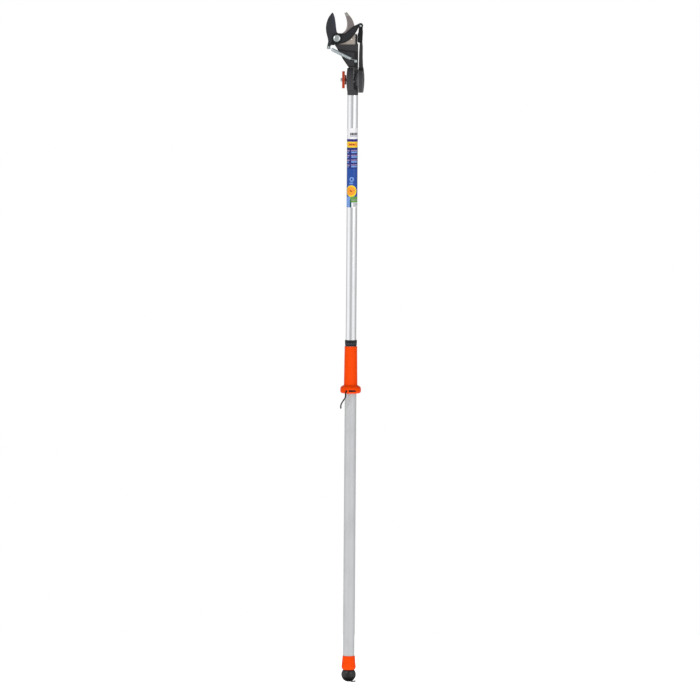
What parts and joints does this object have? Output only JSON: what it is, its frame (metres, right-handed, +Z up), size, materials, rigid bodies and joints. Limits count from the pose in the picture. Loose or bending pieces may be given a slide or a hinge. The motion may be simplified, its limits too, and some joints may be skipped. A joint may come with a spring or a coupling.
{
  "type": "pole lopper",
  "caption": "Telescopic pole lopper: bypass blades on a tilting head, closed by an inner strap from a sliding hand grip or an end ball.",
  "frame": {"origin": "on the pole's axis at the lower hand hold, halfway up the bare part of the lower tube", "axes": "+Z up the pole to the blades, +X to the strap side of the head, -Y to the face with the pivot bolt's head"},
  "size_m": [0.1329, 0.088, 2.3046],
  "materials": {
    "satin_aluminium": "satin drawn and anodised tube",
    "bright_aluminium": "bright drawn and anodised tube",
    "orange_plastic": "moulded, fine texture",
    "red_plastic": "moulded, semi-matt",
    "dark_red_plastic": "moulded, matt",
    "black_plastic": "moulded, fine texture",
    "charcoal_plastic": "glass-filled nylon, fine texture",
    "grey_ring": "moulded, semi-matt",
    "black_rubber": "soft satin",
    "black_cord": "braided",
    "webbing": "woven",
    "coated_steel": "low-friction coated steel",
    "black_metal": "powder coated",
    "satin_steel": "satin ground steel",
    "zinc_steel": "bright zinc plated",
    "label_film": null
  },
  "bodies": {
    "lower_pole": {"lower_tube": "satin_aluminium", "end_ferrule": "orange_plastic", "tube_plug": "black_plastic", "collar_base": "black_plastic", "collar_ring": "grey_ring"},
    "lock_collar": {"lock_collar": "black_plastic"},
    "puller": {"handle_grip": "orange_plastic", "handle_flange": "orange_plastic", "cord_cleat": "black_plastic", "handle_pin": "zinc_steel", "pull_shuttle": "black_plastic", "ball_cord": "black_cord", "pull_ball": "black_rubber", "handle_cord": "black_cord", "ball_cord_tail": "black_cord"},
    "upper_pole": {"upper_tube": "bright_aluminium", "label_sleeve": "label_film", "swivel_socket": "charcoal_plastic", "socket_rivet": "zinc_steel"},
    "inner_strap": {"tube_strap": "webbing"},
    "knob": {"knob_wing": "red_plastic", "knob_hub": "dark_red_plastic", "knob_nut": "zinc_steel"},
    "head": {"head_shell_front": "charcoal_plastic", "head_shell_rear": "charcoal_plastic", "shell_screw_1": "zinc_steel", "shell_screw_2": "zinc_steel", "shell_screw_3": "zinc_steel", "swivel_cap": "charcoal_plastic", "clamp_screw": "zinc_steel", "spring_anchor_pin": "zinc_steel", "strap_anchor_bar": "zinc_steel", "guide_axle": "zinc_steel", "counter_blade": "satin_steel", "pivot_bolt": "zinc_steel", "pivot_spacer": "zinc_steel", "pivot_nut": "zinc_steel", "pull_strap": "webbing"},
    "guide_roller": {"guide_roller": "black_plastic"},
    "blade": {"cutting_blade": "coated_steel", "lever_front": "black_metal", "lever_rear": "black_metal", "lever_rivet": "black_metal", "lever_pin": "zinc_steel", "tail_pin": "zinc_steel"},
    "block": {"strap_block": "black_metal", "roller_axle": "zinc_steel"},
    "block_roller": {"block_roller": "zinc_steel"},
    "spring_base": {"spring_lower_hook": "zinc_steel", "spring_coil": "zinc_steel"},
    "spring_eye": {"spring_upper_hook": "zinc_steel"}
  },
  "joints": [
    {"name": "handle_pull", "type": "slide", "parent": "lower_pole", "child": "puller", "axis": [0, 0, -1], "range_m": [0, 0.16], "stiffness_N_per_m": 60, "springref_m": -0.1},
    {"name": "lock_twist", "type": "hinge", "parent": "lower_pole", "child": "lock_collar", "pos_m": [0, 0, 0.631], "axis": [0, 0, 1], "range_deg": [0, 60]},
    {"name": "telescope", "type": "slide", "parent": "lower_pole", "child": "upper_pole", "axis": [0, 0, 1], "range_m": [0, 0.8]},
    {"name": "strap_run", "type": "slide", "parent": "upper_pole", "child": "inner_strap", "axis": [0, 0, -1], "range_m": [0, 0.16]},
    {"name": "knob_turn", "type": "hinge", "parent": "upper_pole", "child": "knob", "pos_m": [-0.03, 0, 1.529], "axis": [1, 0, 0], "continuous": true},
    {"name": "head_tilt", "type": "hinge", "parent": "upper_pole", "child": "head", "pos_m": [0, 0, 1.529], "axis": [1, 0, 0], "range_deg": [-100, 100]},
    {"name": "guide_roller_turn", "type": "hinge", "parent": "head", "child": "guide_roller", "pos_m": [0.0287, 0.0008, 1.544], "axis": [1, 0, 0], "range_deg": [0, 1650]},
    {"name": "blade_close", "type": "hinge", "parent": "head", "child": "blade", "pos_m": [-0.0555, 0, 1.671], "axis": [0, 1, 0], "range_deg": [0, 52.1], "deforming": ["pull_strap"]},
    {"name": "block_swing", "type": "hinge", "parent": "blade", "child": "block", "pos_m": [0.0253, 0, 1.7143], "axis": [0, 1, 0], "range_deg": [-52.1, 0]},
    {"name": "block_roller_turn", "type": "hinge", "parent": "block", "child": "block_roller", "pos_m": [0.029, 0, 1.665], "axis": [1, 0, 0], "range_deg": [0, 930]},
    {"name": "spring_swing", "type": "hinge", "parent": "head", "child": "spring_base", "pos_m": [0.0093, -0.0152, 1.5937], "axis": [0, 1, 0], "range_deg": [0, 10.6]},
    {"name": "spring_stretch", "type": "slide", "parent": "spring_base", "child": "spring_eye", "axis": [-0.9002, 0, 0.4355], "range_m": [0, 0.03], "deforming": ["spring_coil"]}
  ],
  "couplings": [
    {"joint": "strap_run", "follows": "handle_pull", "ratio": 1},
    {"joint": "blade_close", "follows": "handle_pull", "rad_per_m": 5.6723},
    {"joint": "block_swing", "follows": "handle_pull", "rad_per_m": -5.6723},
    {"joint": "guide_roller_turn", "follows": "handle_pull", "rad_per_m": 178.5},
    {"joint": "block_roller_turn", "follows": "handle_pull", "rad_per_m": 100.8},
    {"joint": "spring_swing", "follows": "handle_pull", "rad_per_m": 1.1476},
    {"joint": "spring_stretch", "follows": "handle_pull", "ratio": 0.18644}
  ]
}
